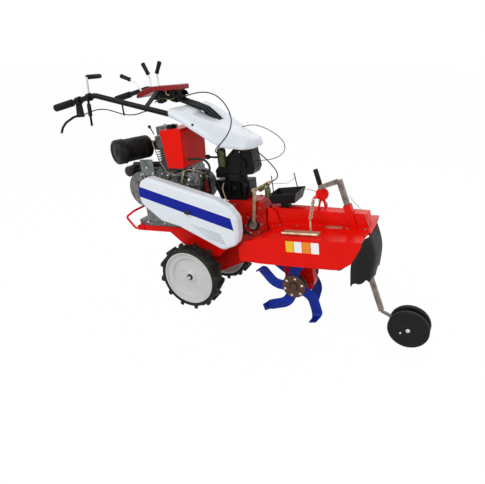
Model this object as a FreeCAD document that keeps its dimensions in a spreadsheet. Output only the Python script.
"""Mini tiller: a two-wheeled walking cultivator with a diesel engine and a narrow rotary tiller.

Lengths are millimetres. The machine is drawn level, with its axle at the origin, +X towards the
tiller, +Y to the operator's left and +Z up. STANCE then leans it back by the pitch it takes when
its gauge wheels carry the tiller clear of the ground, and stands it on the floor.
"""
import FreeCAD, Part
import math
import os
import Sketcher
from FreeCAD import Placement, Rotation, Vector

# ------------------------------------------------------------------ driving dimensions
# alias, value, what it is
SIZES = [
    # stance
    ("pitch", 7.0, "lean of the whole machine, hood end up, degrees"),
    ("axle_height", 178.0, "wheel axle above the floor"),
    ("origin_from_axle", 210.0, "middle of the machine's length, measured from the axle"),
    # drive wheels
    ("track_half", 186.0, "centre plane to middle of a drive tyre"),
    ("tyre_width", 84.0, "width of a drive tyre"),
    ("carcass_radius", 164.0, "tyre without its lugs"),
    ("lug_height", 14.0, "lug above the tyre"),
    ("lug_width", 20.0, "lug along the tread"),
    ("lug_count", 12.0, "lugs on each side of a tyre"),
    ("lug_lean", 28.0, "lug's angle to the axle, degrees"),
    ("tyre_wall", 19.0, "rubber between the rim and the bottom of the lugs"),
    ("rim_wall", 3.0, "sheet thickness of the wheel"),
    ("rim_lip", 9.0, "height of the rolled lip of the rim"),
    ("dish_radius", 104.0, "step in the wheel's disc"),
    ("dish_depth", 15.0, "how deep the step is"),
    ("disc_inset", 18.0, "disc inside the outer face of the tyre"),
    ("hub_radius", 24.0, "wheel hub"),
    ("hub_length", 58.0, "wheel hub along the axle"),
    ("axle_radius", 12.5, "wheel axle"),
    ("running_gap", 0.05, "radial clearance of a running fit"),
    ("clear_gap", 5.0, "least gap beside a moving piece"),
    ("working_gap", 0.3, "gap between curved faces of two bodies"),
    # engine bed
    ("rail_front_x", -372.0, "end of the engine bed under the handlebar"),
    ("rail_rear_x", 196.0, "end of the engine bed at the gearbox"),
    ("rail_top_z", 236.0, "top of the engine bed above the axle"),
    ("rail_deep", 28.0, "height of a bed rail"),
    ("rail_wide", 36.0, "width of a bed rail"),
    ("rail_half_gap", 96.0, "centre plane to the middle of a rail"),
    ("cross_bar", 24.0, "size of the bars across the bed"),
    ("bumper_rod", 6.0, "radius of the bumper's rod"),
    ("bumper_reach", 62.0, "how far the bumper stands out of the bed"),
    ("bumper_rise", 88.0, "height of the bumper's top bar above the rails"),
    ("bumper_nose", 48.0, "height of the bumper's outer bend above the rails"),
    ("bed_step", 30.0, "how far the gearbox's nose reaches under the engine"),
    # engine
    ("case_front_x", -300.0, "crankcase, handlebar end"),
    ("case_rear_x", 76.0, "crankcase, gearbox end"),
    ("case_top_z", 536.0, "top of the crankcase"),
    ("case_half_wide", 96.0, "centre plane to the side of the crankcase"),
    ("case_waist_x", -6.0, "where the crankcase narrows towards the gearbox"),
    ("case_neck_y", 40.0, "centre plane to the inner face of its narrow end"),
    ("case_shelf_z", 340.0, "top of its low end on the fan's side"),
    ("pump_x", 28.0, "injection pump, handlebar end"),
    ("pump_long", 64.0, "length of the injection pump"),
    ("foot_high", 20.0, "engine's foot flange"),
    ("foot_grow", 22.0, "foot flange beyond the crankcase"),
    ("toe_reach", 72.0, "engine's front foot beyond the crankcase"),
    ("toe_high", 26.0, "engine's front foot"),
    ("cover_ring_radius", 96.0, "round cover on the crankcase's belt side"),
    ("cover_ring_deep", 16.0, "how far that cover stands out"),
    ("crank_x", -92.0, "crankshaft, from the axle"),
    ("crank_z", 402.0, "crankshaft, from the axle"),
    ("crank_radius", 17.0, "crankshaft stub that drives the belt"),
    ("casing_radius", 98.0, "rounded casing at the crankcase's end"),
    ("casing_z", 436.0, "middle of that casing"),
    ("casing_half_wide", 84.0, "half width of that casing"),
    ("barrel_x", -142.0, "middle of the cylinder barrel"),
    ("barrel_half", 40.0, "half size of the cylinder barrel"),
    ("barrel_high", 112.0, "height of the cylinder barrel"),
    ("fin_grow", 12.0, "cooling fin beyond the barrel"),
    ("fin_thick", 4.0, "cooling fin thickness"),
    ("fin_pitch", 12.5, "from one cooling fin to the next"),
    ("fin_count", 8.0, "cooling fins"),
    ("head_high", 64.0, "cylinder head"),
    ("rocker_high", 46.0, "rocker cover"),
    ("rocker_inset", 10.0, "rocker cover inside the head"),
    ("fan_radius", 100.0, "round fan housing"),
    ("fan_deep", 62.0, "fan housing along the crankshaft"),
    ("recoil_radius", 92.0, "recoil starter"),
    ("recoil_deep", 34.0, "recoil starter along the crankshaft"),
    ("cleaner_x", -244.0, "inner end of the air cleaner, from the axle"),
    ("cleaner_seat_y", 44.0, "inner end of the air cleaner, from the centre plane"),
    ("cleaner_z", 664.0, "air cleaner above the axle"),
    ("cleaner_radius", 62.0, "air cleaner"),
    ("cleaner_long", 196.0, "air cleaner with its cap"),
    ("cap_long", 46.0, "air cleaner's cap"),
    ("cleaner_yaw", 22.0, "how far the air cleaner's cap is turned to the handlebar, degrees"),
    ("neck_radius", 24.0, "neck between the air cleaner and the cylinder head"),
    ("cap_step", 4.0, "cap beyond the cleaner's body"),
    ("shield_size", 84.0, "square heat shield of the exhaust"),
    ("shield_thick", 4.0, "thickness of the heat shield"),
    ("shield_ahead", 78.0, "heat shield's near edge, ahead of the cylinder's fins"),
    ("shield_out", 14.0, "heat shield beside the crankcase"),
    ("muffler_ahead", 79.0, "middle of the muffler, ahead of the crankcase"),
    ("muffler_radius", 29.0, "muffler"),
    ("exhaust_radius", 15.0, "exhaust pipe"),
    ("muffler_long", 112.0, "muffler"),
    ("tank_top_z", 753.0, "top of the fuel tank"),
    ("tank_low_z", 562.0, "bottom of the fuel tank"),
    ("tank_front_x", -86.0, "tank's top, handlebar end"),
    ("tank_rear_x", 42.0, "tank's top, gearbox end"),
    ("tank_taper", 14.0, "how much each end leans in to the bottom"),
    ("tank_side_y", 146.0, "tank's belt side, from the centre plane"),
    ("tank_deep", 216.0, "tank along the crankshaft"),
    ("tank_round", 12.0, "rounding of the tank's edges"),
    ("cap_radius", 27.0, "fuel cap"),
    ("cap_high", 12.0, "fuel cap"),
    # belt cover
    ("cover_face_y", 234.0, "belt cover's face, from the centre plane"),
    ("cover_deep", 58.0, "depth of the belt cover"),
    ("cover_bevel", 13.0, "bevel around the belt cover's face"),
    ("cover_corner", 46.0, "rounding of the belt cover's tail and nose"),
    ("cover_front_x", -214.0, "belt cover, handlebar end"),
    ("cover_rear_x", 334.0, "belt cover, gearbox end"),
    ("cover_nose_z", 540.0, "belt cover's upper corner at the engine"),
    ("cover_chin_z", 303.0, "belt cover's lower edge at the engine"),
    ("cover_tail_top_z", 400.0, "belt cover's upper corner at the gearbox"),
    ("cover_tail_low_z", 180.0, "belt cover's lowest edge at the gearbox"),
    # transmission
    ("box_front_x", 180.0, "gearbox, engine end"),
    ("box_rear_x", 402.0, "gearbox, tiller end"),
    ("box_top_z", 376.0, "top of the gearbox"),
    ("box_half_wide", 62.0, "centre plane to the side of the gearbox"),
    ("final_radius", 68.0, "round end of the case at the axle"),
    ("final_half_wide", 48.0, "half width of the case at the axle"),
    ("axle_sleeve_radius", 27.0, "axle sleeve beside the case"),
    ("pulley_x", 268.0, "gearbox pulley shaft, from the axle"),
    ("pulley_z", 288.0, "gearbox pulley shaft, above the axle"),
    # column
    ("swivel_x", 232.0, "axis that the handlebar swivels about"),
    ("column_radius", 34.0, "fixed column tube"),
    ("column_top_z", 490.0, "top of the fixed column"),
    ("column_flange_radius", 58.0, "flange on top of the column"),
    ("column_half_wide", 40.0, "centre plane to the side of the column's casting"),
    ("column_lip_x", 128.0, "end of the casting's lip over the engine bed"),
    ("column_flange_high", 12.0, "thickness of that flange"),
    ("head_top_z", 640.0, "top of the swivelling head"),
    ("head_front_x", 262.0, "upper part of the head, engine side"),
    ("head_rear_x", 346.0, "upper part of the head, tiller side"),
    ("head_heel_x", 142.0, "lower part of the head, engine side"),
    ("head_half_wide", 42.0, "half width of the head"),
    ("head_boss_radius", 26.0, "round boss on the head"),
    ("lock_barrel_radius", 20.0, "spring barrel of the swivel lock"),
    ("lock_barrel_high", 88.0, "spring barrel of the swivel lock"),
    # handlebar
    ("bar_radius", 13.0, "handlebar tube"),
    ("bar_bend", 70.0, "bend of the handlebar tube"),
    ("bar_root_x", 300.0, "where the tubes are clamped in the head"),
    ("bar_root_z", 632.0, "height of that clamp"),
    ("bar_mouth_x", 40.0, "where the tubes leave the cowl"),
    ("bar_mouth_y", 158.0, "centre plane to a tube at the cowl"),
    ("bar_mouth_z", 815.0, "height of a tube at the cowl"),
    ("bar_crown_x", -386.0, "highest bend of a tube"),
    ("bar_crown_y", 212.0, "centre plane to that bend"),
    ("bar_crown_z", 944.0, "height of that bend"),
    ("bar_end_x", -648.0, "end of the handlebar"),
    ("bar_end_y", 231.0, "centre plane to the end of a grip"),
    ("bar_end_z", 903.0, "height of the end of a grip"),
    ("grip_radius", 18.0, "rubber grip"),
    ("grip_long", 118.0, "rubber grip"),
    ("brake_from_grip", 40.0, "inner end of a grip to the brake lever"),
    ("clutch_from_brake", 70.0, "brake lever to the clutch lever"),
    # control box
    ("desk_front_x", -266.0, "control box, operator's end"),
    ("desk_rear_x", -2.0, "control box, other end"),
    ("end_plate_x", -34.0, "plate that hangs under the control box"),
    ("desk_rise", 90.0, "control box's top above the tubes at its bridge"),
    ("bridge_x", -120.0, "bridge that carries the control box"),
    ("bridge_wide", 28.0, "width of that bridge"),
    ("bridge_thick", 6.0, "thickness of that bridge"),
    ("spine_radius", 8.0, "bars from the control box into the cowl"),
    ("spine_pitch", 28.0, "between those bars"),
    ("desk_drop", 4.0, "how far the top falls to its other end"),
    ("desk_deep", 24.0, "thickness of the control box"),
    ("desk_half_wide", 50.0, "half width of the control box"),
    ("lever_radius", 4.5, "rod of a control lever"),
    ("knob_grip_radius", 11.0, "grip of a control lever"),
    ("knob_grip_long", 62.0, "grip of a control lever"),
    # cowl
    ("cowl_wall", 3.0, "sheet thickness of the cowl"),
    # tiller hood
    ("hood_front_x", 452.0, "hood's ridge, gearbox end"),
    ("hood_rear_x", 905.0, "far end of the hood"),
    ("hood_top_front_z", 345.0, "ridge's top at the gearbox end"),
    ("hood_top_rear_z", 328.0, "ridge's top at its far end"),
    ("hood_deck_z", 264.0, "deck of the hood"),
    ("hood_ridge_end_x", 884.0, "far end of the ridge"),
    ("deck_half_wide", 70.0, "half width of the hood's fixed deck"),
    ("deck_deep", 20.0, "thickness of the fixed deck"),
    ("beam_half_wide", 34.0, "half width of the hood's ridge"),
    ("sheet_wall", 3.5, "sheet thickness of the hood"),
    ("wing_half_wide", 186.0, "centre plane to the face of a side cover"),
    ("wing_front_x", 300.0, "side cover, gearbox end"),
    ("wing_rear_x", 893.0, "side cover, far end"),
    ("wing_low_z", 111.0, "lower edge of a side cover"),
    ("wing_drop", 16.0, "how far the deck falls to its outer edge"),
    # rotor
    ("rotor_x", 540.0, "rotor shaft, from the axle"),
    ("rotor_z", -37.0, "rotor shaft, above the axle"),
    ("leg_half_wide", 26.0, "half width of the chain case"),
    ("leg_radius", 78.0, "round end of the chain case"),
    ("rotor_shaft_radius", 20.0, "rotor shaft"),
    ("rotor_half_long", 104.0, "half length of the rotor"),
    ("flange_radius", 62.0, "flange that the tines are bolted to"),
    ("flange_thick", 10.0, "thickness of that flange"),
    ("flange_y", 88.0, "centre plane to a flange"),
    ("tine_radius", 196.0, "rotor shaft to the tip of a tine"),
    ("tine_thick", 8.0, "thickness of a tine"),
    ("tine_wide", 54.0, "width of a tine"),
    ("tine_foot", 54.0, "how far a tine's tip turns outwards"),
    ("tine_root", 30.0, "rotor shaft to the inner end of a tine"),
    ("tine_sweep", 38.0, "how far a tine's root lies ahead of its tip, degrees"),
    # depth bar and gauge wheels
    ("gauge_radius", 94.0, "gauge wheel"),
    ("gauge_wide", 26.0, "thickness of a gauge wheel"),
    ("gauge_gap", 28.0, "between the gauge wheels"),
    ("gauge_from_axle", 1088.0, "floor distance from the axle to the gauge wheels"),
    ("gauge_axle_radius", 8.0, "axle of the gauge wheels"),
    ("depth_bar_half", 11.0, "half size of the square depth bar"),
    ("depth_bar_y", -24.0, "middle of the depth bar, from the centre plane"),
    ("depth_bar_top_x", 761.0, "top of the depth bar"),
    ("depth_bar_top_z", 481.0, "top of the depth bar"),
    ("depth_bar_low_x", 944.0, "bottom of the depth bar"),
    ("depth_bar_low_z", -149.0, "bottom of the depth bar"),
    ("socket_wall", 6.0, "wall of the depth bar's socket"),
    ("socket_long", 112.0, "length of the socket"),
    ("socket_drop", 118.0, "from the top of the depth bar to its socket"),
    ("depth_arm_x", 676.0, "front end of the depth bar's top arm"),
    ("depth_arm_z", 447.0, "front end of the depth bar's top arm"),
    ("quadrant_x", 676.0, "lever disc on the hood's ridge"),
    ("quadrant_z", 411.0, "lever disc on the hood's ridge"),
    ("quadrant_radius", 30.0, "lever disc on the hood's ridge"),
    ("flap_thick", 5.0, "rubber of the flap"),
    # controls and pipes
    ("pipe_radius", 3.0, "steel injector pipe"),
    ("hose_radius", 5.5, "fuel hose"),
    ("cable_radius", 2.6, "sleeved control cable"),
    ("fine_cable_radius", 1.8, "thin control cable"),
    ("shift_boss_x", 340.0, "foot of the tiller's shift lever"),
    ("shift_boss_z", 271.0, "foot of the tiller's shift lever"),
    ("shift_top_x", 362.0, "top of the tiller's shift lever"),
    ("shift_top_z", 440.0, "top of the tiller's shift lever"),
    ("tray_z", 370.0, "bottom of the tool tray"),
    ("tray_half", 78.0, "half width of the tool tray"),
    ("chain_wire", 2.2, "wire radius of a chain link"),
    ("chain_ring", 7.5, "radius of a chain link, to the middle of its wire"),
    ("plate_thick", 4.0, "thickness of the hinge plates on the side covers"),
]


class Size(float):
    """A number that remembers the spreadsheet expression it came from."""

    def __new__(cls, value, text):
        made = float.__new__(cls, value)
        made.text = text
        return made

    def __add__(self, other):
        return Size(float(self) + float(other), "(%s + %s)" % (self.text, words(other)))

    def __radd__(self, other):
        return Size(float(other) + float(self), "(%s + %s)" % (words(other), self.text))

    def __sub__(self, other):
        return Size(float(self) - float(other), "(%s - %s)" % (self.text, words(other)))

    def __rsub__(self, other):
        return Size(float(other) - float(self), "(%s - %s)" % (words(other), self.text))

    def __mul__(self, other):
        return Size(float(self) * float(other), "(%s * %s)" % (self.text, words(other)))

    def __rmul__(self, other):
        return Size(float(other) * float(self), "(%s * %s)" % (words(other), self.text))

    def __truediv__(self, other):
        return Size(float(self) / float(other), "(%s / %s)" % (self.text, words(other)))

    def __neg__(self):
        return Size(-float(self), "(-1 * %s)" % self.text)


def words(number):
    """The expression text of a Size or of a plain number."""
    if isinstance(number, Size):
        return number.text
    return "(%r)" % float(number)


doc = FreeCAD.newDocument("mini_tiller")
sheet = doc.addObject("Spreadsheet::Sheet", "dims")


class Dims:
    """The driving dimensions, one attribute for each alias of the spreadsheet."""


d = Dims()
for row, (alias, value, meaning) in enumerate(SIZES, 1):
    sheet.set("A%d" % row, meaning)
    sheet.set("B%d" % row, "%r" % value)
    sheet.setAlias("B%d" % row, alias)
    setattr(d, alias, Size(value, "dims." + alias))
doc.recompute()

NODES = []
STANCE = Placement(Vector(-d.origin_from_axle, 0, d.axle_height), Rotation(Vector(0, 1, 0), -d.pitch))
RIGHT, LEFT = -1, 1
SIDES = (("right", RIGHT), ("left", LEFT))


# ------------------------------------------------------------------ helpers
def keep(piece, label, local=Placement()):
    """Name a finished sub-part and stand it on the floor with the rest of the machine."""
    piece.Label = label
    piece.Placement = STANCE.multiply(local).multiply(piece.Placement)
    NODES.append(piece)
    return piece


def bind(thing, prop, size):
    """Tie a property to the spreadsheet."""
    thing.setExpression(prop, words(size))


def origin_part(body, role):
    """One of a body's own planes or axes, found by its role."""
    for feature in body.Origin.OriginFeatures:
        if feature.Role == role:
            return feature
    raise ValueError(role)


def new_sketch(body, plane, lift=None):
    """An empty sketch on one of the body's own planes, lifted along the plane's normal."""
    made = body.newObject("Sketcher::SketchObject", body.Name + "_sketch")
    made.AttachmentSupport = [(origin_part(body, plane), "")]
    made.MapMode = "FlatFace"
    if lift is not None:
        bind(made, "AttachmentOffset.Base.z", lift)
    return made


def tie_point(sketch, geometry, end, u, v):
    """Fix one end of a sketch line at a distance from the sketch's origin along both axes."""
    for kind, value in (("DistanceX", u), ("DistanceY", v)):
        number = sketch.addConstraint(Sketcher.Constraint(kind, -1, 1, geometry, end, float(value)))
        if isinstance(value, Size):
            bind(sketch, "Constraints[%d]" % number, value)


def draw_outline(sketch, points):
    """A closed outline of straight lines through points, each point tied to the spreadsheet."""
    start = sketch.GeometryCount
    count = len(points)
    for here, there in zip(points, points[1:] + points[:1]):
        edge = Part.LineSegment(Vector(here[0], here[1], 0), Vector(there[0], there[1], 0))
        sketch.addGeometry(edge, False)
    for step in range(count):
        following = start + (step + 1) % count
        sketch.addConstraint(Sketcher.Constraint("Coincident", start + step, 2, following, 1))
    for step, (u, v) in enumerate(points):
        tie_point(sketch, start + step, 1, u, v)


def draw_circle(sketch, u, v, radius):
    """A circle whose middle and radius are tied to the spreadsheet."""
    made = sketch.addGeometry(Part.Circle(Vector(u, v, 0), Vector(0, 0, 1), float(radius)), False)
    number = sketch.addConstraint(Sketcher.Constraint("Radius", made, float(radius)))
    if isinstance(radius, Size):
        bind(sketch, "Constraints[%d]" % number, radius)
    tie_point(sketch, made, 3, u, v)


def pad(body, sketch, length):
    """Raise a sketch along its plane's normal."""
    made = body.newObject("PartDesign::Pad", body.Name + "_pad")
    made.Profile = sketch
    bind(made, "Length", length)
    sketch.Visibility = False
    return made


def slab(name, outline, low_y, high_y, corner=None):
    """A side-view outline given in X and Z, as thick as from low_y to high_y."""
    body = doc.addObject("PartDesign::Body", name)
    sketch = new_sketch(body, "XZ_Plane", -1 * high_y)
    draw_outline(sketch, outline)
    pad(body, sketch, high_y - low_y)
    if corner is not None:
        round_edges(body, corner, Vector(0, 1, 0))
    return body


def round_edges(body, radius, direction, kind="PartDesign::Fillet", pick=None):
    """Round or bevel the straight edges of the body's tip that run along a direction."""
    doc.recompute()
    names = []
    for number, edge in enumerate(body.Tip.Shape.Edges, 1):
        if edge.Curve.TypeId != "Part::GeomLine":
            continue
        if edge.Curve.Direction.cross(direction).Length > 1e-6:
            continue
        if pick is None or pick(edge):
            names.append("Edge%d" % number)
    before = body.Tip
    made = body.newObject(kind, body.Name + "_edges")
    made.Base = (before, names)
    bind(made, "Radius" if kind.endswith("Fillet") else "Size", radius)
    return made


def drum(name, profile, turn=360.0):
    """A turned piece: a closed outline given as radius and distance along Y, spun about Y."""
    body = doc.addObject("PartDesign::Body", name)
    sketch = new_sketch(body, "XY_Plane")
    draw_outline(sketch, profile)
    made = body.newObject("PartDesign::Revolution", name + "_turn")
    made.Profile = sketch
    made.ReferenceAxis = (origin_part(body, "Y_Axis"), [""])
    made.Angle = turn
    return body


def rod(name, radius, length, base, direction=Vector(0, 1, 0)):
    """A plain round bar from a point, along a direction."""
    made = doc.addObject("Part::Cylinder", name)
    bind(made, "Radius", radius)
    bind(made, "Height", length)
    made.Placement = Placement(Vector(*base), Rotation(Vector(0, 0, 1), direction))
    return made


def block(name, low, high):
    """A plain box between two corners."""
    made = doc.addObject("Part::Box", name)
    for prop, axis in (("Length", 0), ("Width", 1), ("Height", 2)):
        bind(made, prop, high[axis] - low[axis])
    made.Placement = Placement(Vector(*low), Rotation())
    return made


def joined(name, pieces):
    """Several overlapping solids made one."""
    made = doc.addObject("Part::MultiFuse", name)
    made.Shapes = pieces
    return made


def cut(name, base, tool):
    """One solid with another taken out of it."""
    made = doc.addObject("Part::Cut", name)
    made.Base = base
    made.Tool = tool
    return made


def shaped(name, shape):
    """A sub-part whose shape is worked out with Part's own functions."""
    made = doc.addObject("Part::Feature", name)
    made.Shape = shape
    return made


def route(points, bend=None):
    """Straight runs through the points, joined by tangent arcs.

    With no bend given, each arc is as large as its two runs allow, as a free cable lies.
    """
    points = [Vector(*point) for point in points]
    edges = []
    start = points[0]
    for before, corner, after in zip(points, points[1:], points[2:]):
        back = (before - corner).normalize()
        ahead = (after - corner).normalize()
        half_turn = (math.pi - back.getAngle(ahead)) / 2
        shorter = min(before.distanceToPoint(corner), after.distanceToPoint(corner))
        radius = bend if bend is not None else 0.45 * shorter / math.tan(half_turn)
        reach = radius * math.tan(half_turn)
        first = corner + back * reach
        last = corner + ahead * reach
        middle_way = (back + ahead).normalize()
        middle = corner + middle_way * (radius / math.cos(half_turn) - radius)
        edges.append(Part.LineSegment(start, first).toShape())
        edges.append(Part.Arc(first, middle, last).toShape())
        start = last
    edges.append(Part.LineSegment(start, points[-1]).toShape())
    return Part.Wire(edges)


def tube(points, radius, bend=None):
    """A round bar along a route; its volume is compared with its section times its length."""
    path = route(points, bend)
    first = path.Edges[0]
    section = Part.Wire(Part.Circle(first.valueAt(first.FirstParameter),
                                    first.tangentAt(first.FirstParameter), float(radius)).toShape())
    made = path.makePipeShell([section], True, True)
    wanted = math.pi * float(radius) ** 2 * path.Length
    if abs(made.Volume - wanted) > 0.01 * wanted:
        raise ValueError("tube volume %.0f instead of %.0f" % (made.Volume, wanted))
    return made


def cord(label, points, radius):
    """A free cord along its route; the radii of its bends are printed."""
    bends = [edge.Curve.Radius for edge in route(points).Edges if edge.Curve.TypeId == "Part::GeomCircle"]
    print("%s: bend radii %s mm" % (label, " ".join("%.0f" % bend for bend in bends)))
    keep(shaped(label, tube(points, radius)), label)


def mirrored(point, side):
    """A point of the left side, put on the side asked for."""
    return (point[0], point[1] * side, point[2])


# ------------------------------------------------------------------ drive wheels
def drive_tyre(label, side):
    """Rubber tyre: a barrel-shaped ring with slanted lugs on both shoulders."""
    half = d.tyre_width / 2
    seat = d.carcass_radius - d.tyre_wall
    body = drum(label + "_ring", [
        (seat, -half + 4), (seat + 4, -half), (d.carcass_radius - 4, -half), (d.carcass_radius, -half + 12),
        (d.carcass_radius, half - 12), (d.carcass_radius - 4, half), (seat + 4, half), (seat, half - 4)])
    lug_low = float(d.carcass_radius) - 5
    lug_top = d.carcass_radius + d.lug_height
    lugs = []
    for row in (-1, 1):
        for number in range(int(d.lug_count)):
            bar = Part.makeBox(float(d.lug_width), float(half) + 3, float(d.lug_height) + 8,
                               Vector(-float(d.lug_width) / 2, -3, lug_low))
            bar.rotate(Vector(), Vector(0, 0, 1), float(d.lug_lean))
            if row < 0:
                bar = bar.mirror(Vector(), Vector(0, 1, 0))
            turn = 360.0 / float(d.lug_count) * (number + (0.5 if row > 0 else 0.0))
            bar.rotate(Vector(), Vector(0, 1, 0), turn)
            lugs.append(bar)
    tread = joined(label + "_tread", [body, shaped(label + "_lugs", Part.makeCompound(lugs))])
    limit = rod(label + "_limit", lug_top, d.tyre_width, (0, -half, 0))
    whole = doc.addObject("Part::Common", label)
    whole.Base = tread
    whole.Tool = limit
    tread.Refine = False
    whole.Refine = False
    return keep(whole, label, Placement(Vector(0, side * d.track_half, 0), Rotation()))


def drive_wheel(label, side):
    """Pressed steel wheel: rim with rolled lips, a stepped disc and a hub bored for the axle."""
    half = d.tyre_width / 2
    seat = d.carcass_radius - d.tyre_wall
    out = half - d.disc_inset
    bore = d.axle_radius + d.running_gap
    body = drum(label, [
        (bore, out - d.hub_length), (d.hub_radius, out - d.hub_length),
        (d.hub_radius, out - d.dish_depth - 6), (d.dish_radius + 2, out - d.dish_depth - 6),
        (d.dish_radius + 8, out - 6),
        (seat - d.rim_wall - 6, out - 6), (seat - d.rim_wall - 6, -half + 8), (seat - d.rim_lip, -half + 3),
        (seat, -half + 4), (seat, half - 4), (seat - d.rim_lip, half - 3),
        (seat - d.rim_wall - 6, half - 8), (seat - d.rim_wall - 6, out),
        (d.dish_radius + 3, out), (d.dish_radius - 3, out - d.dish_depth),
        (d.hub_radius + 10, out - d.dish_depth), (d.hub_radius, out - 4), (bore, out - 4)])
    outward = Rotation(Vector(0, 0, 1), 0 if side == LEFT else 180)
    return keep(body, label, Placement(Vector(0, side * d.track_half, 0), outward))


for side_name, side in SIDES:
    drive_tyre("tyre_" + side_name, side)
    drive_wheel("wheel_" + side_name, side)

# ------------------------------------------------------------------ transmission
hub_inner_y = d.track_half + d.tyre_width / 2 - d.disc_inset - d.hub_length
sleeve_end_y = hub_inner_y - d.clear_gap
nose_x = d.box_front_x - d.bed_step
nose_low_z = d.rail_top_z - 46
nose_high_z = d.rail_top_z - 2
final_case = joined("final_case", [
    rod("final_round", d.final_radius, 2 * d.final_half_wide, (0, -d.final_half_wide, 0)),
    slab("final_arm", [(-0.4 * d.final_radius, 0.9 * d.final_radius),
                       (0.35 * d.final_radius, -0.9 * d.final_radius), (d.box_rear_x - 40, 96),
                       (d.box_rear_x, 190), (d.box_rear_x, d.box_top_z - 150),
                       (d.box_front_x, d.box_top_z - 150), (d.box_front_x - 8, nose_high_z),
                       (nose_x, nose_high_z), (nose_x, nose_low_z)],
         -1 * d.final_half_wide, d.final_half_wide),
    slab("box_main", [(d.box_front_x + 20, 150), (d.box_rear_x, 175), (d.box_rear_x, d.box_top_z - 34),
                      (d.box_rear_x - 20, d.box_top_z), (d.box_front_x + 16, d.box_top_z),
                      (d.box_front_x, d.box_top_z - 20)],
         -1 * d.box_half_wide, d.box_half_wide),
    rod("input_shaft", 18, d.cover_face_y - d.cover_deep - d.box_half_wide,
        (d.pulley_x, -d.cover_face_y + d.cover_deep, d.pulley_z)),
    rod("axle_sleeve", d.axle_sleeve_radius, 2 * sleeve_end_y, (0, -sleeve_end_y, 0)),
    rod("wheel_axle", d.axle_radius, 2 * (hub_inner_y + d.hub_length - 10),
        (0, -hub_inner_y - d.hub_length + 10, 0)),
])
keep(final_case, "gearbox")

# ------------------------------------------------------------------ engine bed and bumper
rail_low_z = d.rail_top_z - d.rail_deep
bed_pieces = []
for side_name, side in SIDES:
    middle = side * d.rail_half_gap
    low_y = middle - d.rail_wide / 2
    bed_pieces.append(slab("rail_" + side_name, [
        (d.rail_front_x, rail_low_z), (-150, rail_low_z), (-10, 92), (d.rail_rear_x - 60, 92),
        (d.rail_rear_x, 140), (d.rail_rear_x, d.rail_top_z),
        (d.rail_front_x, d.rail_top_z)], low_y, low_y + d.rail_wide))
for number, x in enumerate((d.rail_front_x + 6, -110, nose_x - d.cross_bar)):
    bed_pieces.append(block("bed_bar_%d" % number, (x, -d.rail_half_gap, rail_low_z + 4),
                            (x + d.cross_bar, d.rail_half_gap, rail_low_z + 4 + d.cross_bar)))
keep(joined("engine_bed", bed_pieces), "engine_bed")

bumper_top_z = d.rail_top_z + d.bumper_rise
bumper_out_x = d.rail_front_x - d.bumper_reach
bumper_foot_z = d.rail_top_z - 14
bumper_y = d.rail_half_gap + d.rail_wide / 2 + d.bumper_rod + d.working_gap
bumper_points = [
    (d.rail_front_x + 50, -bumper_y, bumper_foot_z), (d.rail_front_x - 10, -bumper_y, bumper_foot_z),
    (bumper_out_x, -bumper_y, d.rail_top_z + d.bumper_nose), (d.rail_front_x + 4, -bumper_y, bumper_top_z)]
bumper_points += [mirrored(point, -1) for point in reversed(bumper_points)]
keep(shaped("front_bumper", tube(bumper_points, d.bumper_rod, 14)), "front_bumper")

# ------------------------------------------------------------------ engine
case_low_z = d.rail_top_z
pump_out_y = d.case_half_wide + 28
crankcase = joined("crankcase_whole", [
    block("crankcase_body", (d.case_front_x, -d.case_half_wide, case_low_z + d.foot_high),
          (d.case_waist_x, d.case_half_wide, d.case_top_z)),
    block("crankcase_shelf", (d.case_waist_x, -d.case_half_wide, case_low_z + d.foot_high),
          (d.case_rear_x, d.case_half_wide, d.case_shelf_z)),
    block("crankcase_narrow_end", (d.case_waist_x, -d.case_half_wide, d.case_shelf_z),
          (d.case_rear_x, -d.case_neck_y, d.case_top_z)),
    block("crankcase_foot", (d.case_front_x - d.foot_grow, -d.case_half_wide - 8, case_low_z),
          (d.case_rear_x + d.foot_grow, d.case_half_wide + 8, case_low_z + d.foot_high)),
    block("crankcase_toe", (d.case_front_x - d.toe_reach, -d.casing_half_wide, case_low_z),
          (d.case_front_x + 88, d.casing_half_wide, case_low_z + d.toe_high)),
    rod("crankcase_ring", d.cover_ring_radius, d.cover_ring_deep,
        (d.crank_x, -d.case_half_wide - d.cover_ring_deep, d.crank_z)),
    rod("crank_stub", d.crank_radius, d.cover_face_y - d.cover_deep - d.case_half_wide,
        (d.crank_x, -d.cover_face_y + d.cover_deep, d.crank_z)),
    block("tank_saddle", (d.tank_front_x + 30, -90, d.case_top_z), (d.tank_rear_x - 20, 40, d.tank_low_z)),
    block("injection_pump", (d.pump_x, -pump_out_y, d.case_top_z - 66),
          (d.pump_x + d.pump_long, -d.case_half_wide, d.case_top_z)),
    rod("cover_stay", 9, d.cover_face_y - d.cover_deep - d.case_half_wide,
        (d.case_front_x + 98, -d.cover_face_y + d.cover_deep, d.case_top_z - 80)),
    rod("end_casing", d.casing_radius, 2 * d.casing_half_wide,
        (d.case_front_x, -d.casing_half_wide, d.casing_z)),
])
keep(crankcase, "engine_crankcase")

barrel_low_z = d.case_top_z
fins = [block("fin_%d" % number,
              (d.barrel_x - d.barrel_half - d.fin_grow, -d.barrel_half - d.fin_grow,
               barrel_low_z + 5 + number * d.fin_pitch),
              (d.barrel_x + d.barrel_half + d.fin_grow, d.barrel_half + d.fin_grow,
               barrel_low_z + 5 + number * d.fin_pitch + d.fin_thick))
        for number in range(int(d.fin_count))]
barrel_core = block("barrel_core", (d.barrel_x - d.barrel_half, -d.barrel_half, barrel_low_z),
                    (d.barrel_x + d.barrel_half, d.barrel_half, barrel_low_z + d.barrel_high))
keep(joined("engine_barrel", [barrel_core] + fins), "engine_barrel")

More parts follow.
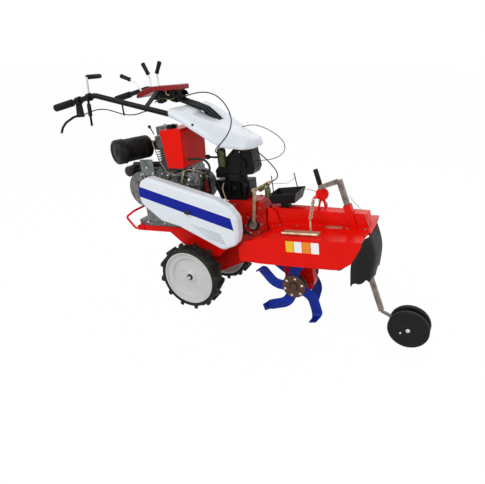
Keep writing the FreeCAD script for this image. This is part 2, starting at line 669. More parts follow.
head_low_z = barrel_low_z + d.barrel_high
head_half = d.barrel_half + d.fin_grow
rocker_low_z = head_low_z + d.head_high
rocker_half = head_half - d.rocker_inset
keep(joined("engine_head", [
    block("head_block", (d.barrel_x - head_half, -head_half, head_low_z),
          (d.barrel_x + head_half, head_half, rocker_low_z)),
    block("rocker_cover", (d.barrel_x - rocker_half, -1 * rocker_half, rocker_low_z),
          (d.barrel_x + rocker_half, rocker_half, rocker_low_z + d.rocker_high)),
]), "engine_head")

fan_y = d.case_half_wide
keep(joined("fan_housing", [
    rod("fan_drum", d.fan_radius, d.fan_deep, (d.crank_x, fan_y, d.crank_z)),
    rod("recoil_starter", d.recoil_radius, d.recoil_deep + d.fan_deep, (d.crank_x, fan_y, d.crank_z)),
]), "fan_housing")

yaw = math.radians(d.cleaner_yaw)
cleaner_way = Vector(-math.sin(yaw), -math.cos(yaw), 0)
cleaner_seat = Vector(d.cleaner_x, -d.cleaner_seat_y, d.cleaner_z)
neck_long = d.barrel_x - head_half - d.cleaner_x - 12
keep(joined("air_cleaner", [
    rod("cleaner_drum", d.cleaner_radius - d.cap_step, d.cleaner_long - 4, cleaner_seat, cleaner_way),
    rod("cleaner_cap", d.cleaner_radius, d.cap_long,
        cleaner_seat + cleaner_way * float(d.cleaner_long - d.cap_long), cleaner_way),
    rod("cleaner_neck", d.neck_radius, neck_long - d.working_gap,
        (d.barrel_x - head_half - neck_long, -27, d.cleaner_z), Vector(1, 0, 0)),
]), "air_cleaner")

muffler_x = d.case_front_x - d.muffler_ahead
shield_x = d.barrel_x - head_half - d.shield_ahead
shield_y = -d.case_half_wide - d.shield_out
shield_z = d.case_top_z - 16
keep(joined("exhaust", [
    rod("muffler_drum", d.muffler_radius, d.muffler_long, (muffler_x, -92, d.case_top_z)),
    rod("exhaust_pipe", d.exhaust_radius, d.barrel_x - d.barrel_half - muffler_x - 12,
        (muffler_x, -30, d.case_top_z + 26), Vector(1, 0, 0)),
    block("shield_plate", (shield_x, shield_y, shield_z),
          (shield_x + d.shield_size, shield_y + d.shield_thick, shield_z + d.shield_size)),
    block("shield_foot", (shield_x + 14, shield_y, shield_z),
          (shield_x + d.shield_size - 14, -d.case_half_wide, d.case_top_z - 6)),
]), "exhaust")

tank = slab("fuel_tank", [
    (d.tank_front_x + d.tank_taper, d.tank_low_z), (d.tank_rear_x - d.tank_taper, d.tank_low_z),
    (d.tank_rear_x, d.tank_top_z), (d.tank_front_x, d.tank_top_z)],
    -1 * d.tank_side_y, d.tank_deep - d.tank_side_y, d.tank_round)
keep(tank, "fuel_tank")
filler = (d.tank_front_x + 34, -d.tank_side_y + 62, d.tank_top_z)
keep(joined("fuel_cap", [
    rod("cap_skirt", d.cap_radius, d.cap_high, filler, Vector(0, 0, 1)),
    rod("cap_crown", d.cap_radius - 5, d.cap_high + 5, filler, Vector(0, 0, 1)),
]), "fuel_cap")

# the steel pipe from the injection pump to the injector in the cylinder head
pipe_points = [(-168, -head_half - 0.9, 705), (-168, -108, 690), (-128, -130, 604), (-85, -130, 536),
               (-30, -118, 521), (d.pump_x - d.working_gap, -112, 521)]
keep(shaped("injector_pipe", tube(pipe_points, d.pipe_radius, 16)), "injector_pipe")
# the hose from the tank down to the injection pump
hose_points = [(36.5, -110, 600), (92, -110, 606), (136, -110, 596), (157, -110, 562), (140, -110, 528),
               (d.pump_x + d.pump_long + 0.9, -110, 521)]
cord("fuel_hose", hose_points, d.hose_radius)

# ------------------------------------------------------------------ belt drive
cover = slab("belt_cover", [
    (d.cover_front_x, d.cover_chin_z + 100), (-104, d.cover_chin_z + 10), (0, d.cover_chin_z - 14),
    (236, d.cover_tail_low_z), (318, d.cover_tail_low_z + 32), (d.cover_rear_x, d.cover_tail_low_z + 92),
    (d.cover_rear_x, d.cover_tail_top_z - 54), (d.cover_rear_x - 42, d.cover_tail_top_z),
    (228, d.cover_nose_z - 106), (-152, d.cover_nose_z), (d.cover_front_x + 14, d.cover_nose_z - 24),
    (d.cover_front_x - 4, d.cover_nose_z - 76)],
    -1 * d.cover_face_y, -1 * d.cover_face_y + d.cover_deep)
face_y = -float(d.cover_face_y)
round_edges(cover, d.cover_corner, Vector(0, 1, 0),
            pick=lambda edge: edge.BoundBox.XMin > 220 or edge.BoundBox.XMin < -90)
doc.recompute()
rim_edges = []
for number, edge in enumerate(cover.Tip.Shape.Edges, 1):
    if abs(edge.BoundBox.YMax - face_y) < 1e-4:
        rim_edges.append("Edge%d" % number)
cover_pad = cover.Tip
bevel = cover.newObject("PartDesign::Chamfer", "belt_cover_bevel")
bevel.Base = (cover_pad, rim_edges)
bind(bevel, "Size", d.cover_bevel)
keep(cover, "belt_cover")

# ------------------------------------------------------------------ handlebar column
flange_low_z = d.column_top_z - d.column_flange_high
keep(joined("column", [
    rod("column_tube", d.column_radius, d.column_top_z - d.box_top_z,
        (d.swivel_x, 0, d.box_top_z), Vector(0, 0, 1)),
    rod("column_flange", d.column_flange_radius, d.column_flange_high,
        (d.swivel_x, 0, flange_low_z), Vector(0, 0, 1)),
    slab("column_casting", [
        (186, d.box_top_z), (292, d.box_top_z), (322, d.box_top_z + 50), (322, flange_low_z),
        (d.column_lip_x, flange_low_z), (d.column_lip_x, flange_low_z - 36), (154, d.box_top_z + 10)],
        -1 * d.column_half_wide, d.column_half_wide),
]), "column")
head_bottom = d.column_top_z + d.working_gap
swivel_pieces = [
    rod("head_turntable", d.column_flange_radius, 22, (d.swivel_x, 0, head_bottom), Vector(0, 0, 1)),
    slab("head_plate", [
        (d.head_heel_x, head_bottom), (d.head_rear_x, head_bottom + 20),
        (d.head_rear_x + 14, head_bottom + 46), (d.head_rear_x, d.head_top_z),
        (d.head_front_x, d.head_top_z), (d.head_front_x - 91, head_bottom + 70),
        (d.head_heel_x, head_bottom + 40)], -1 * d.head_half_wide, d.head_half_wide),
    rod("head_boss", d.head_boss_radius, 2 * d.head_half_wide + 24,
        (d.head_rear_x - 52, -d.head_half_wide - 12, head_bottom + 72)),
    rod("lock_barrel", d.lock_barrel_radius, d.lock_barrel_high,
        (d.head_heel_x + 50, -d.head_half_wide - 8, head_bottom + 60), Vector(0, 0, 1)),
]

# ------------------------------------------------------------------ cowl
# half sections of the cowl: x, then half width and height of its lower edge, cheek, shoulder and crown
COWL_SECTIONS = [
    (12, (182, 814), (182, 844), (166, 851), (0, 852)),
    (60, (182, 793), (180, 822), (156, 834), (0, 836)),
    (150, (179, 735), (172, 768), (128, 784), (0, 792)),
    (250, (165, 670), (152, 700), (98, 728), (0, 744)),
    (318, (118, 645), (106, 672), (66, 694), (0, 704)),
    (368, (62, 634), (56, 648), (34, 660), (0, 666)),
]


def cowl_wire(section, inset):
    """A closed arch at one X; the inset brings its sides and top inwards and leaves it open below."""
    x, edge, cheek, shoulder, crown = section
    half = [(edge[0] - inset, edge[1] - (60 if inset else 0)), (cheek[0] - inset, cheek[1]),
            (shoulder[0] - inset, shoulder[1] - inset), (0, crown[1] - inset)]
    ring = [Vector(x, y, z) for y, z in half] + [Vector(x, -y, z) for y, z in reversed(half[:-1])]
    return Part.makePolygon(ring + ring[:1])


def cowl_shell():
    """Thin cowl, open below and behind, with a closed nose and a slot for the bars."""
    wall = float(d.cowl_wall)
    pieces = []
    for before, after in zip(COWL_SECTIONS, COWL_SECTIONS[1:]):
        pieces.append(Part.makeLoft([cowl_wire(before, 0), cowl_wire(after, 0)], True, True))
    inner = []
    hollow = [(x if number else x - 20,) + tuple(rest)
              for number, (x, *rest) in enumerate(COWL_SECTIONS)]
    hollow[-1] = (COWL_SECTIONS[-1][0] - wall,) + tuple(COWL_SECTIONS[-1][1:])
    for before, after in zip(hollow, hollow[1:]):
        inner.append(Part.makeLoft([cowl_wire(before, wall), cowl_wire(after, wall)], True, True))
    outside = pieces[0].fuse(pieces[1:])
    inside = inner[0].fuse(inner[1:])
    slot_half = float(d.spine_pitch + d.spine_radius) + 8
    slot = Part.makeBox(104, 2 * slot_half, 120, Vector(84, -slot_half, 740))
    return outside.cut([inside, slot])


cowl_skin = cowl_shell()
keep(shaped("cowl", cowl_skin), "cowl")
post_height = 720 - d.head_top_z
crown_post = Part.makeCylinder(10, float(post_height) + 30, Vector(322, 0, float(d.head_top_z) - 12))
crown_post = sorted(crown_post.cut(cowl_skin).Solids, key=lambda solid: solid.CenterOfMass.z)[0]
keep(joined("swivel_head", swivel_pieces + [shaped("cowl_post", crown_post)]), "swivel_head")

# ------------------------------------------------------------------ handlebar
def bar_points(side):
    """Corners of one handlebar tube, from the head to the grip."""
    return [
        (d.bar_root_x, side * (d.head_half_wide + d.bar_radius), d.bar_root_z),
        (d.bar_mouth_x + 150, side * (d.bar_mouth_y - 46), d.bar_root_z + 96),
        (d.bar_mouth_x, side * d.bar_mouth_y, d.bar_mouth_z),
        (d.bar_crown_x, side * d.bar_crown_y, d.bar_crown_z),
        (d.bar_end_x, side * d.bar_end_y, d.bar_end_z)]


def on_bar(x, side):
    """The middle of a handlebar tube at one X, behind the cowl."""
    points = bar_points(side)
    before, after = (points[2], points[3]) if x > d.bar_crown_x else (points[3], points[4])
    share = (x - before[0]) / (after[0] - before[0])
    return (x, before[1] + share * (after[1] - before[1]), before[2] + share * (after[2] - before[2]))


def collar(x, side, length):
    """A clamp ring around a handlebar tube."""
    middle = Vector(*on_bar(x, side))
    way = (Vector(*on_bar(x - 10, side)) - middle).normalize()
    start = middle - way * (length / 2)
    ring = Part.makeCylinder(float(d.bar_radius) + 6, length, start, way)
    return ring.cut(Part.makeCylinder(float(d.bar_radius + d.working_gap), length + 4, start - way * 2, way))


bridge_foot = on_bar(d.bridge_x, LEFT)
desk_top_z = bridge_foot[2] + d.desk_rise
desk = slab("control_box", [
    (d.desk_front_x, desk_top_z - 50), (d.desk_front_x + 44, desk_top_z - 42),
    (d.desk_front_x + 112, desk_top_z - d.desk_deep), (d.desk_rear_x, desk_top_z - d.desk_drop - d.desk_deep),
    (d.desk_rear_x, desk_top_z - d.desk_drop), (d.desk_front_x + 96, desk_top_z),
    (d.desk_front_x + 40, desk_top_z - 12), (d.desk_front_x, desk_top_z - 34)],
    -1 * d.desk_half_wide, d.desk_half_wide)
keep(desk, "control_box")
doc.recompute()
level_desk = desk.Shape.transformed(desk.Placement.inverse().toMatrix())

foot_y = float(bridge_foot[1])
foot_z = float(bridge_foot[2])
desk_low_z = float(desk_top_z - d.desk_deep)
thick = float(d.bridge_thick)
bridge_wide = float(d.bridge_wide)
shelf_y = float(d.desk_half_wide) + 14
bridge_line = [(-foot_y, foot_z), (-shelf_y, desk_low_z), (shelf_y, desk_low_z), (foot_y, foot_z)]
bridge_ring = [Vector(float(d.bridge_x) - bridge_wide / 2, y, z) for y, z in bridge_line]
bridge_ring += [point - Vector(0, 0, thick) for point in reversed(bridge_ring)]
bridge_face = Part.Face(Part.makePolygon(bridge_ring + bridge_ring[:1]))
bridge = bridge_face.extrude(Vector(bridge_wide, 0, 0))
end_plate = Part.makeBox(6, 2 * float(d.desk_half_wide) - 8, float(desk_top_z) - 872,
                         Vector(float(d.end_plate_x), -float(d.desk_half_wide) + 4, 868))
spine = [tube([(-184, y, 897), (-60, y, 893), (108, y, 828), (200, y, 744), (284, y, 664)], d.spine_radius, 40)
         for y in (-float(d.spine_pitch), 0, float(d.spine_pitch))]
spine_clamp = Part.makeBox(24, 2 * float(d.spine_pitch), 40, Vector(-132, -float(d.spine_pitch), 886))
tubes = [tube(bar_points(side), d.bar_radius, d.bar_bend) for side_name, side in SIDES]
handlebar = tubes[0].fuse(tubes[1:] + [bridge, end_plate, spine_clamp] + spine).cut(level_desk)
keep(shaped("handlebar_tubes", handlebar), "handlebar_tubes")
for side_name, side in SIDES:
    end = Vector(*bar_points(side)[-1])
    way = (end - Vector(*bar_points(side)[-2])).normalize()
    base = end - way * float(d.grip_long)
    sleeve = Part.makeCylinder(float(d.grip_radius), float(d.grip_long) + 4, base, way)
    core = Part.makeCylinder(float(d.bar_radius + d.working_gap), float(d.grip_long), base, way)
    keep(shaped("grip_" + side_name, sleeve.cut(core)), "grip_" + side_name)

# control levers: foot x, foot z below the desk's top, knee x and rise, tip x and rise, y
LEVERS = [
    (-238, -24, -268, 30, -357, 68, -30),
    (-193, -10, -199, 49, -228, 114, 0),
    (-171, -10, -172, 62, -143, 112, 30),
]
levers = []
for foot_x, foot_rise, knee_x, knee_rise, tip_x, tip_rise, lever_y in LEVERS:
    foot = (foot_x, lever_y, desk_top_z + foot_rise)
    knee = (knee_x, lever_y, desk_top_z + knee_rise)
    tip = Vector(tip_x, lever_y, desk_top_z + tip_rise)
    way = (tip - Vector(*knee)).normalize()
    stick = tube([foot, knee, tuple(tip)], d.lever_radius, 12).cut(level_desk)
    grip_base = tip - way * float(d.knob_grip_long)
    grip = Part.makeCylinder(float(d.knob_grip_radius), float(d.knob_grip_long), grip_base, way)
    levers.append(stick.fuse(grip).removeSplitter())
keep(shaped("control_levers", Part.makeCompound(levers)), "control_levers")

# the brake lever under the right grip, and its cable along the tube
brake_x = float(d.bar_end_x + d.grip_long + d.brake_from_grip)
pivot_z = 860
brake_y = float(on_bar(brake_x, RIGHT)[1])
brake_plate = Part.Face(Part.makePolygon([Vector(x, brake_y - 5, z) for x, z in (
    (brake_x - 22, 916), (brake_x + 12, 914), (brake_x + 12, pivot_z - 12), (brake_x - 34, pivot_z - 12),
    (brake_x - 22, 916))])).extrude(Vector(0, 10, 0))
brake_blade = tube([(brake_x - 10, brake_y, pivot_z), (brake_x - 64, brake_y, pivot_z - 10),
                    (brake_x - 126, brake_y, pivot_z - 34), (brake_x - 158, brake_y, pivot_z - 58),
                    (brake_x - 176, brake_y, pivot_z - 84)], 6, 40)
held_line = [(brake_x, -8), (-362, -52), (-236, -58), (-178, -45), (-128, -19), (-100, -8)]
held_points = [(x, float(on_bar(x, RIGHT)[1]), float(on_bar(x, RIGHT)[2]) + drop) for x, drop in held_line]
held_points[0] = (held_points[0][0], held_points[0][1], pivot_z - 4)
held_cable = tube(held_points, d.cable_radius)
hanger_top = on_bar(-240, RIGHT)
hanger = Part.makeCylinder(4, 58, Vector(*hanger_top) - Vector(0, 0, 62), Vector(0, 0, 1))
bare_tube = tube(bar_points(RIGHT), d.bar_radius + d.working_gap, d.bar_bend)
brake = collar(brake_x, RIGHT, 26.0).fuse([brake_plate, brake_blade, held_cable, hanger]).cut(bare_tube)
keep(shaped("brake_lever", brake), "brake_lever")

# the clutch lever: a bright stem with a cross grip above the tube and a hanging handle below it
clutch_x = brake_x + float(d.clutch_from_brake)
clutch_mid = on_bar(clutch_x, RIGHT)
clutch_y = float(clutch_mid[1])
clutch_z = float(clutch_mid[2])
stem = tube([(clutch_x, clutch_y, clutch_z), (clutch_x + 12, clutch_y, clutch_z + 92),
             (clutch_x + 12, clutch_y + 40, clutch_z + 92)], d.lever_radius, 10)
cross_grip = Part.makeCylinder(float(d.knob_grip_radius), 94, Vector(clutch_x + 12, clutch_y, clutch_z + 92),
                               Vector(0, 1, 0))
handle_line = Vector(-14, 0, -136)
handle_top = Vector(clutch_x + 4, clutch_y - 14, clutch_z)
handle = Part.makeCylinder(6, 136, handle_top, handle_line)
handle_grip = Part.makeCylinder(10, 60, handle_top + handle_line * 0.22, handle_line)
clutch = collar(clutch_x, RIGHT, 24.0).fuse([stem, cross_grip, handle, handle_grip]).cut(bare_tube)
keep(shaped("clutch_lever", clutch), "clutch_lever")

# free cables: radius, then the corners of the route
CABLES = [
    ("cable_over_cowl", d.cable_radius, [
        (-27.4, -40, 887), (44, -50, 896), (100, -60, 905), (164, -74, 905), (227, -98, 891),
        (283, -126, 857), (322, -153, 813), (338, -176, 772), (326, -190, 732), (290, -193, 694),
        (250, -186, 666), (214, -140, 646), (192, -100, 630), (192, -72, 618)]),
    ("cable_around_nose", d.fine_cable_radius, [
        (283, 20, 727), (330, 24, 737), (391, 12, 726), (444, 0, 703), (484, 0, 675),
        (508, 0, 640), (500, 0, 604), (462, 0, 580), (408, 0, 568), (356.6, 0, 568)]),
    ("cable_to_shift", d.cable_radius, [
        (377, -40, 622), (412, -40, 594), (446, -42, 560), (478, -48, 524), (484, -62, 494),
        (453, -74, 482.4)]),
]
for label, radius, points in CABLES:
    cord(label, points, radius)

# ------------------------------------------------------------------ tiller hood
level = STANCE.inverse()
gauge_centre = level.multVec(Vector(d.gauge_from_axle - d.origin_from_axle, d.depth_bar_y, d.gauge_radius))
bar_top = Vector(d.depth_bar_top_x, d.depth_bar_y, d.depth_bar_top_z)
bar_low = Vector(d.depth_bar_low_x, d.depth_bar_y, d.depth_bar_low_z)
bar_way = (bar_low - bar_top).normalize()


def square_bar(half, start, length):
    """A square bar that starts at a point and runs down the depth bar's line."""
    bar = Part.makeBox(2 * half, 2 * half, length, Vector(-half, -half, 0))
    lean = math.degrees(math.atan2(bar_way.x, bar_way.z))
    bar.Placement = Placement(start, Rotation(Vector(0, 1, 0), lean))
    return bar


bar_half = float(d.depth_bar_half)
socket_start = bar_top + bar_way * float(d.socket_drop)
socket_hole = shaped("socket_hole", square_bar(bar_half + float(d.socket_wall + d.working_gap),
                                               socket_start - bar_way * 60, float(d.socket_long) + 160))
deck_low_z = d.hood_deck_z - d.deck_deep
link_half = d.beam_half_wide + 8
hood = joined("hood_whole", [
    slab("hood_deck", [(d.hood_front_x - 20, deck_low_z), (d.hood_rear_x, deck_low_z),
                       (d.hood_rear_x, d.hood_deck_z), (d.hood_front_x - 20, d.hood_deck_z)],
         -1 * d.deck_half_wide, d.deck_half_wide),
    slab("hood_ridge", [(d.hood_front_x, deck_low_z), (d.hood_ridge_end_x + 10, deck_low_z),
                        (d.hood_ridge_end_x, d.hood_top_rear_z), (d.hood_front_x - 24, d.hood_top_front_z)],
         -1 * d.beam_half_wide, d.beam_half_wide),
    slab("hood_link", [(d.box_rear_x, 190), (d.hood_front_x, deck_low_z), (d.hood_front_x, d.hood_deck_z),
                       (d.box_rear_x, d.hood_deck_z + 40)], -1 * link_half, link_half)])
hood_frame = cut("hood_frame", hood, socket_hole)
keep(hood_frame, "hood_frame")
doc.recompute()
level_hood = hood_frame.Shape.transformed(hood_frame.Placement.inverse().toMatrix())


def side_cover(side):
    """One bent sheet: a deck that falls to its outer edge and a long side plate below it."""
    wall = float(d.sheet_wall)
    inner = float(d.deck_half_wide)
    outer = float(d.wing_half_wide)
    deck = float(d.hood_deck_z)
    edge = deck - float(d.wing_drop)
    front = float(d.wing_front_x)
    rear = float(d.wing_rear_x)
    low = float(d.wing_low_z)
    deck_points = [Vector(front + 36, -outer, edge - 32), Vector(front + 150, -outer, edge),
                   Vector(rear, -outer, edge + 4), Vector(rear + 8, -inner, deck),
                   Vector(front + 178, -inner, deck)]
    plate = [Vector(x, -outer, z) for x, z in (
        (front, low + 8), (front + 100, low), (rear - 110, low + 4), (rear - 50, low + 36),
        (rear - 6, low + 118), (rear, edge + 4), (front + 150, edge), (front + 36, edge - 32),
        (front, edge - 64))]
    side_plate = Part.Face(Part.makePolygon(plate + plate[:1])).extrude(Vector(0, wall, 0))
    top = []
    for a, b, c in ((0, 1, 4), (1, 2, 3), (1, 3, 4)):
        corners = [deck_points[a], deck_points[b], deck_points[c]]
        top.append(Part.Face(Part.makePolygon(corners + corners[:1])).extrude(Vector(0, 0, -wall)))
    made = side_plate.fuse(top).removeSplitter()
    if side == LEFT:
        made = made.mirror(Vector(), Vector(0, 1, 0))
    return made


def chain_and_plate(side, cover_shape):
    """A hinge plate on a side cover with its eye bolt, and the chain from it up to the ridge."""
    slope = float(d.wing_drop) / float(d.wing_half_wide - d.deck_half_wide)
    thick = float(d.plate_thick)
    low_y, high_y = 108.0, 150.0
    surface = [float(d.hood_deck_z) - slope * (y - float(d.deck_half_wide)) for y in (low_y, high_y)]
    section = [(low_y, surface[0] + thick), (high_y, surface[1] + thick),
               (high_y, surface[1] - 2), (low_y, surface[0] - 2)]
    ring = [Vector(520, side * y, z) for y, z in section]
    plate = Part.Face(Part.makePolygon(ring + ring[:1])).extrude(Vector(172, 0, 0)).cut(cover_shape)
    plate = sorted(plate.Solids, key=lambda solid: solid.Volume)[-1]
    eye = Vector(652, side * 126, 322)
    bolt_low = float(d.hood_deck_z) - slope * (126 - float(d.deck_half_wide)) + thick - 1
    bolt = Part.makeCylinder(5, eye.z - bolt_low, Vector(eye.x, eye.y, bolt_low), Vector(0, 0, 1))
    knuckle = Part.makeCylinder(7, 172, Vector(520, side * 150, surface[1] + thick + 4), Vector(1, 0, 0))
    knuckle = knuckle.cut(cover_shape)
    hook = Vector(640, side * 26.6, 395)
    wire = float(d.chain_wire)
    ring_radius = float(d.chain_ring)
    loose_end = ring_radius + wire + 0.4
    slack = 2 * (ring_radius - wire) - 0.2
    way = (hook - eye).normalize()
    run = eye.distanceToPoint(hook) - 2 * loose_end - 5
    count = math.ceil(run / slack) + 1
    links = []
    for number in range(count):
        middle = eye + way * (loose_end + 5 + run * number / (count - 1))
        across = Vector(1, 0, 0) if number % 2 else way.cross(Vector(1, 0, 0)).normalize()
        links.append(Part.makeTorus(ring_radius, wire, middle, across))
    return plate.fuse([bolt, knuckle]), links


chain_parts = []
for side_name, side in SIDES:
    cover_shape = side_cover(side)
    keep(shaped("side_cover_" + side_name, cover_shape), "side_cover_" + side_name)
    plate, links = chain_and_plate(side, cover_shape)
    chain_parts.append(plate)
    chain_parts.extend(links)
keep(shaped("cover_chains", Part.makeCompound(chain_parts)), "cover_chains")

chain_case = joined("chain_case_whole", [
    rod("chain_case_round", d.leg_radius, 2 * d.leg_half_wide, (d.rotor_x, -d.leg_half_wide, d.rotor_z)),
    slab("chain_case_leg", [
        (d.rotor_x - d.leg_radius + 3, d.rotor_z), (d.rotor_x + d.leg_radius - 3, d.rotor_z),
        (d.rotor_x + d.leg_radius - 12, deck_low_z), (d.rotor_x - d.leg_radius - 10, deck_low_z)],
        -1 * d.leg_half_wide, d.leg_half_wide)])
shaft_hole = rod("shaft_hole", d.rotor_shaft_radius + d.running_gap, 2 * d.leg_half_wide + 20,
                 (d.rotor_x, -d.leg_half_wide - 10, d.rotor_z))
keep(cut("chain_case", chain_case, shaft_hole), "chain_case")

# the tiller's shift lever stands on a boss at the gearbox's side
lever_y = -d.box_half_wide - 12
shift_low = Vector(d.shift_boss_x, lever_y, d.shift_boss_z)
shift_high = Vector(d.shift_top_x, lever_y, d.shift_top_z)
shift_blade = slab("shift_blade", [
    (shift_low.x - 8, shift_low.z), (shift_low.x + 8, shift_low.z), (shift_high.x + 8, shift_high.z),
    (shift_high.x - 8, shift_high.z)], lever_y, lever_y + 6)
shift_way = Vector(90, 0, 42)
keep(joined("shift_lever", [
    rod("shift_boss", 16, 12, (shift_low.x, lever_y, shift_low.z)), shift_blade,
    rod("shift_pin", 11, 12, (shift_high.x, lever_y - 6, shift_high.z)),
    rod("shift_shaft", 8, shift_way.Length, (shift_high.x, lever_y, shift_high.z), shift_way),
    rod("shift_barrel", 10, 52, (shift_high.x + 66, lever_y, shift_high.z - 24), Vector(0, 0, 1)),
]), "shift_lever")

# ------------------------------------------------------------------ tool tray and lift lever
def tray_ring(grow, low_z, rise):
    """A rectangle of the tray: how far beyond its bottom it stands, and its height at both ends."""
    half = float(d.tray_half) - 22 + grow
    corners = [Vector(440 - grow, -half, low_z), Vector(556 + grow, -half, low_z + rise),
               Vector(556 + grow, half, low_z + rise), Vector(440 - grow, half, low_z)]
    return Part.makePolygon(corners + corners[:1])


tray_low = float(d.tray_z)
tray_outer = Part.makeLoft([tray_ring(0, tray_low, 6), tray_ring(14, tray_low + 44, 12)], True, True)
tray_inner = Part.makeLoft([tray_ring(-3, tray_low + 3, 6), tray_ring(14, tray_low + 54, 12)], True, True)
tray_foot = Part.makeBox(40, 40, 60, Vector(470, -20, tray_low - 58)).cut(level_hood)
tray_rods = [Part.makeCylinder(2.5, 126, Vector(x, y, tray_low + 4), Vector(lean, 0, 160))
             for x, y, lean in ((444, -30, -8), (548, 40, -30))]
tray = tray_outer.cut(tray_inner).fuse([tray_foot] + tray_rods)
keep(shaped("tool_tray", tray), "tool_tray")

disc_y = -14.0
disc_centre = Vector(d.quadrant_x, disc_y, d.quadrant_z)
lift_disc = Part.makeCylinder(float(d.quadrant_radius), 8, disc_centre, Vector(0, 1, 0))
lift_hub = Part.makeCylinder(11, 28, disc_centre, Vector(0, 1, 0))
lift_legs = [Part.makeCylinder(5, 110, Vector(x, disc_y + 14, 300), Vector(d.quadrant_x - x, 0, 120))
             for x in (d.quadrant_x - 36, d.quadrant_x + 14)]
lift_eye = Part.makeBox(28, 52, 6, Vector(635, -26, 392))
lift_stick = Part.makeCylinder(5, 66, disc_centre + Vector(0, 20, 0), Vector(-22, 0, 62))
lift_grip = Part.makeCylinder(10, 72, disc_centre + Vector(-14, 20, 40), Vector(-18, 0, 68))
lift = lift_disc.fuse([lift_hub, lift_eye, lift_stick, lift_grip] + lift_legs).cut(level_hood)
keep(shaped("lift_lever", lift), "lift_lever")

# ------------------------------------------------------------------ rotor
rotor_pieces = [
    rod("rotor_rod", d.rotor_shaft_radius, 2 * d.rotor_half_long,
        (d.rotor_x, -d.rotor_half_long, d.rotor_z))]
rotor_pieces += [
    rod("rotor_flange_" + side_name, d.flange_radius, d.flange_thick,
        (d.rotor_x, side * d.flange_y - d.flange_thick / 2, d.rotor_z)) for side_name, side in SIDES]
keep(joined("rotor_shaft", rotor_pieces), "rotor_shaft")


def tine(angle, side):
    """One tine: a flat blade that sweeps back from the flange, its tip turned outwards."""
    reach = float(d.tine_radius)
    wide = float(d.tine_wide)
    thick = float(d.tine_thick)
    base_y = float(d.flange_y + d.flange_thick / 2) + thick / 2
    line = []
    for radius, ahead in ((float(d.tine_root), 1.0), (0.52 * reach, 0.86), (reach - thick, 0.2)):
        turn = math.radians(ahead * float(d.tine_sweep))
        line.append((radius * math.cos(turn), base_y, radius * math.sin(turn)))
    tip = reach - thick
    line.append((tip * math.cos(0.05), base_y + float(d.tine_foot), tip * math.sin(0.05)))
    path = route(line, wide / 2 + 4)
    way = path.Edges[0].tangentAt(path.Edges[0].FirstParameter)
    side_way = way.cross(Vector(0, 1, 0)).normalize()
    start = Vector(*line[0])
    corners = [start + side_way * u + Vector(0, v, 0) for u, v in (
        (-wide / 2, -thick / 2), (wide / 2, -thick / 2), (wide / 2, thick / 2), (-wide / 2, thick / 2))]
    made = path.makePipeShell([Part.makePolygon(corners + corners[:1])], True, False)
    limit = Part.makeCylinder(reach, 400, Vector(0, -200, 0), Vector(0, 1, 0))
    flange_side = Part.makeBox(500, 400, 500, Vector(-250, base_y - thick / 2, -250))
    made = made.common(limit).common(flange_side)
    made.rotate(Vector(), Vector(0, 1, 0), -angle)
    if side == RIGHT:
        made = made.mirror(Vector(), Vector(0, 1, 0))
    made.translate(Vector(d.rotor_x, 0, d.rotor_z))
    return made


TINE_ANGLES = {RIGHT: (146, 214, 308, 60), LEFT: (357, 90, 200, 325)}
blades = [tine(angle, side) for side_name, side in SIDES for angle in TINE_ANGLES[side]]
keep(shaped("tines", Part.makeCompound(blades)), "tines")

# ------------------------------------------------------------------ depth bar and gauge wheels
bar_length = bar_top.distanceToPoint(bar_low)
fork_wide = float(d.gauge_gap) - 10
fork_boss = Part.makeCylinder(18, fork_wide, gauge_centre - Vector(0, fork_wide / 2, 0), Vector(0, 1, 0))
fork_arm = tube([bar_low - bar_way * 20, bar_low + bar_way * 6, gauge_centre], 8, 8)
fork_bore = float(d.gauge_axle_radius + d.running_gap)
fork_hole = Part.makeCylinder(fork_bore, 80, gauge_centre - Vector(0, 40, 0), Vector(0, 1, 0))
arm_end = Vector(d.depth_arm_x, d.depth_bar_y, d.depth_arm_z)
arm_ring = [Vector(x, float(d.depth_bar_y) - bar_half - 6, z) for x, z in (
    (arm_end.x - 6, arm_end.z - 9), (bar_top.x - 4, bar_top.z - 16), (bar_top.x + 8, bar_top.z - 2),
    (bar_top.x - 6, bar_top.z + 8), (arm_end.x - 10, arm_end.z + 9))]
depth_arm = Part.Face(Part.makePolygon(arm_ring + arm_ring[:1])).extrude(Vector(0, 7, 0))
depth_bar = square_bar(bar_half, bar_top, bar_length).fuse([fork_arm, fork_boss, depth_arm]).cut(fork_hole)
keep(shaped("depth_bar", depth_bar), "depth_bar")

slot = square_bar(bar_half + float(d.working_gap), socket_start - bar_way * 10, float(d.socket_long) + 40)
sleeve = square_bar(bar_half + float(d.socket_wall), socket_start, float(d.socket_long))
keep(shaped("bar_socket", sleeve.cut(slot)), "bar_socket")

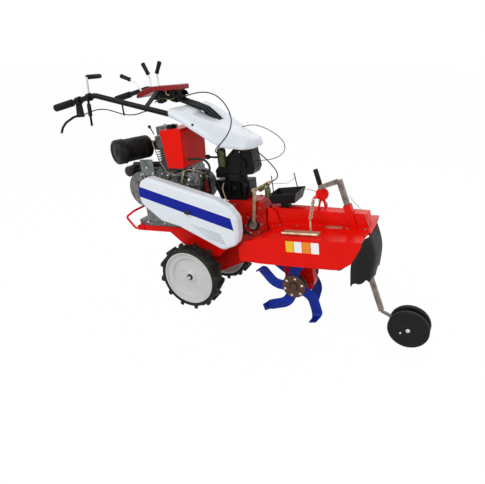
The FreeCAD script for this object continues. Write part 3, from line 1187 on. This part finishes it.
gauge_long = d.gauge_gap + 2 * d.gauge_wide
gauge_pieces = [
    rod("gauge_spindle", d.gauge_axle_radius, gauge_long + 12,
        (gauge_centre.x, d.depth_bar_y - gauge_long / 2 - 6, gauge_centre.z))]
for side_name, side in SIDES:
    disc_low_y = d.depth_bar_y + side * (d.gauge_gap + d.gauge_wide) / 2 - d.gauge_wide / 2
    gauge_pieces.append(rod("gauge_disc_" + side_name, d.gauge_radius, d.gauge_wide,
                            (gauge_centre.x, disc_low_y, gauge_centre.z)))
keep(joined("gauge_wheels", gauge_pieces), "gauge_wheels")

# ------------------------------------------------------------------ rubber flap
# height, then x of its outer edges and of its middle
FLAP_LEVELS = [
    (float(deck_low_z), 872, 908),
    (130, 846, 930),
    (28, 844, 918),
]
flap_half = float(d.wing_half_wide - d.sheet_wall - d.working_gap)


def flap_wire(height, edge_x, middle_x, inset):
    """The curtain's plan at one height, closed by its own thickness."""
    plan = [(edge_x, flap_half), (middle_x, 74), (middle_x, -74), (edge_x, -flap_half)]
    ring = plan + [(x - inset, y) for x, y in reversed(plan)]
    corners = [Vector(x, y, height) for x, y in ring]
    return Part.makePolygon(corners + corners[:1])


flap_steps = [flap_wire(height, edge_x, middle_x, float(d.flap_thick))
              for height, edge_x, middle_x in FLAP_LEVELS]
flap_parts = [Part.makeLoft([above, below], True, True)
              for above, below in zip(flap_steps, flap_steps[1:])]
keep(shaped("rear_flap", flap_parts[0].fuse(flap_parts[1:])), "rear_flap")

# ------------------------------------------------------------------ check and write
doc.recompute()
faults = ["%s: %s" % (made.Label, made.State) for made in doc.Objects
          if "Invalid" in made.State or "Error" in made.State]
if faults:
    raise ValueError("; ".join(faults))
os.makedirs("parts", exist_ok=True)
for node in NODES:
    shape = node.Shape
    if shape.isNull() or not shape.isValid() or not shape.Solids:
        raise ValueError("bad shape: " + node.Label)
    shape.exportStep("parts/%s.step" % node.Label)
whole = Part.makeCompound([node.Shape for node in NODES]).BoundBox
print("%d nodes" % len(NODES))
print("X %.1f..%.1f  Y %.1f..%.1f  Z %.1f..%.1f" % (whole.XMin, whole.XMax, whole.YMin, whole.YMax,
                                                    whole.ZMin, whole.ZMax))
